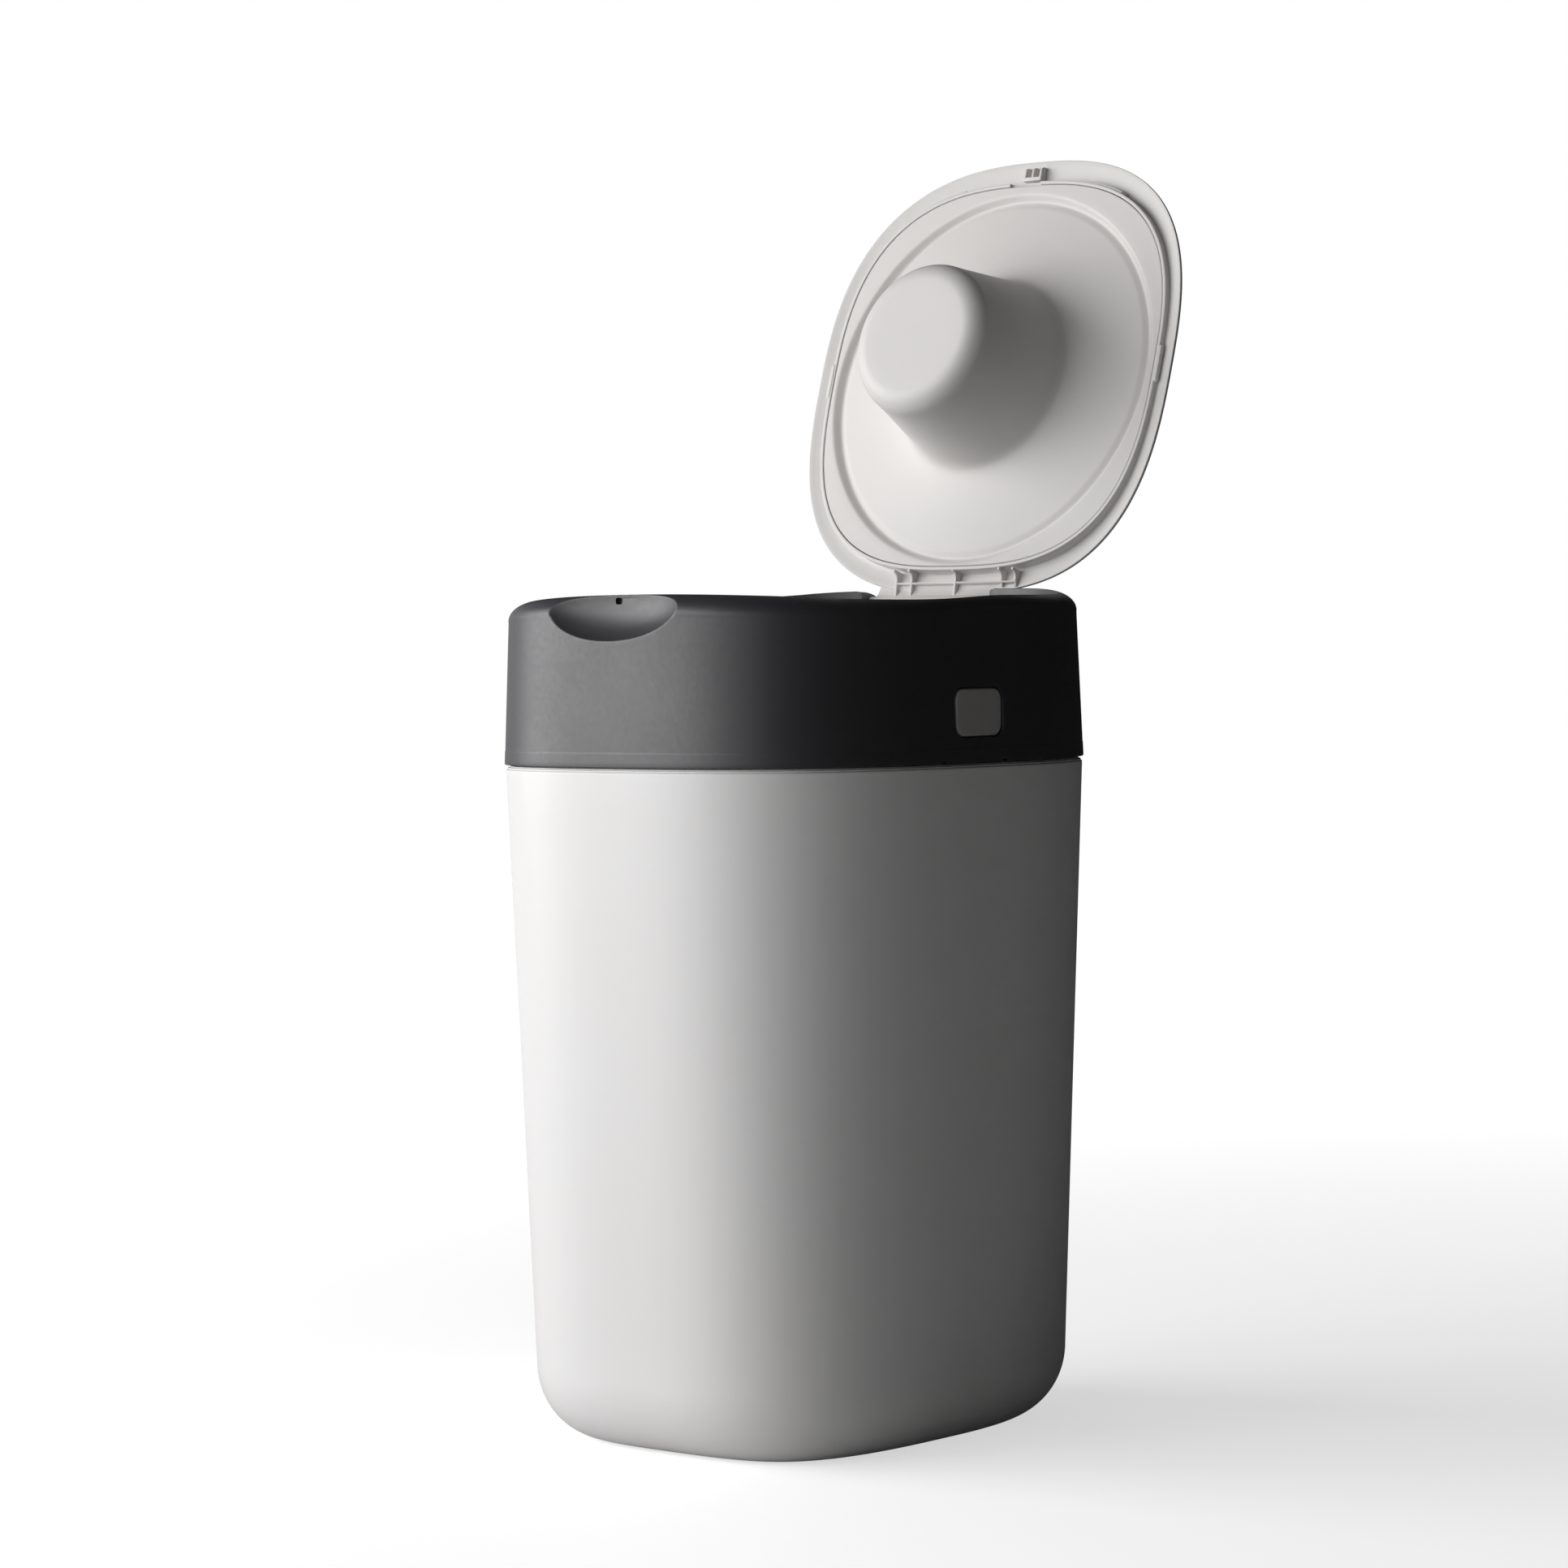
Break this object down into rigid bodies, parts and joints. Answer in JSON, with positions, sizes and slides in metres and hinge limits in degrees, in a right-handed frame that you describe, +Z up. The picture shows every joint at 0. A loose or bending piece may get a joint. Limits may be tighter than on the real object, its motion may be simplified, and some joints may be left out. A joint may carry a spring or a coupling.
{
  "type": "nappy bin",
  "caption": "Free-standing nappy bin: white tapering tub, side-hinged dark grey upper unit with twist ring and film cassette, and an open white lid with a plunger.",
  "frame": {"origin": "middle of the tub's flat base, on the floor", "axes": "+Z up; -Y towards the front, where the finger scoop is; +Y towards the lid hinge; +X towards the side with the release button"},
  "size_m": [0.2408, 0.3299, 0.6133],
  "materials": {
    "tub_white": "satin moulded white",
    "casing_grey": "fine matte moulded texture, dark grey",
    "lid_cover_white": "satin moulded white",
    "lid_liner_white": "satin moulded warm white",
    "button_grey": "matte moulded light grey",
    "twist_ring_white": "smooth moulded white",
    "cassette_teal": "moulded teal",
    "cassette_cap_white": "moulded white",
    "film_pack": "gathered thin film",
    "housing_grey": "moulded grey",
    "finger_rubber": "soft matte",
    "mechanism_white": "moulded off-white",
    "steel": "bright drawn",
    "cutter_orange": "moulded orange"
  },
  "bodies": {
    "tub_body": {"tub": "tub_white", "side_hinge_pin": "steel"},
    "upper_unit": {"casing": "casing_grey", "ring_housing": "housing_grey", "housing_screw_1": "steel", "housing_screw_2": "steel", "housing_screw_3": "steel", "housing_screw_4": "steel", "grip_fingers": "finger_rubber", "cutter_rail": "mechanism_white", "latch_bracket": "mechanism_white", "button_spring_1": "steel", "button_spring_2": "steel", "pawl_spring": "steel", "pawl_cap": "mechanism_white", "lid_hinge_pin": "steel"},
    "ring_body": {"twist_ring": "twist_ring_white", "cassette_body": "cassette_teal", "cassette_cap": "cassette_cap_white", "film_pack": "film_pack"},
    "lid_body": {"lid_cover": "lid_cover_white", "lid_liner": "lid_liner_white"},
    "release_body": {"release_button": "button_grey", "latch_slide": "mechanism_white"},
    "cutter_body": {"cutter_slider": "cutter_orange", "cutter_blade": "steel"},
    "pawl_body": {"click_pawl": "mechanism_white"}
  },
  "joints": [
    {"name": "upper_unit_hinge", "type": "hinge", "parent": "tub_body", "child": "upper_unit", "pos_m": [-0.1207, 0, 0.316], "axis": [0, -1, 0], "range_deg": [0, 95]},
    {"name": "lid_hinge", "type": "hinge", "parent": "upper_unit", "child": "lid_body", "pos_m": [0, 0.1109, 0.3912], "axis": [1, 0, 0], "range_deg": [0, 107.84]},
    {"name": "ring_twist", "type": "hinge", "parent": "upper_unit", "child": "ring_body", "pos_m": [0, -0.0062, 0.3835], "axis": [0, 0, 1], "continuous": true},
    {"name": "button_slide", "type": "slide", "parent": "upper_unit", "child": "release_body", "axis": [-1, 0, 0], "range_m": [0, 0.004], "stiffness_N_per_m": 300, "springref_m": -0.002, "deforming": ["button_spring_1", "button_spring_2"]},
    {"name": "cutter_slide", "type": "slide", "parent": "upper_unit", "child": "cutter_body", "axis": [1, 0, 0], "range_m": [0, 0.074]},
    {"name": "pawl_slide", "type": "slide", "parent": "upper_unit", "child": "pawl_body", "axis": [0, -1, 0], "range_m": [0, 0.0015], "stiffness_N_per_m": 200, "springref_m": -0.001, "deforming": ["pawl_spring"]}
  ]
}
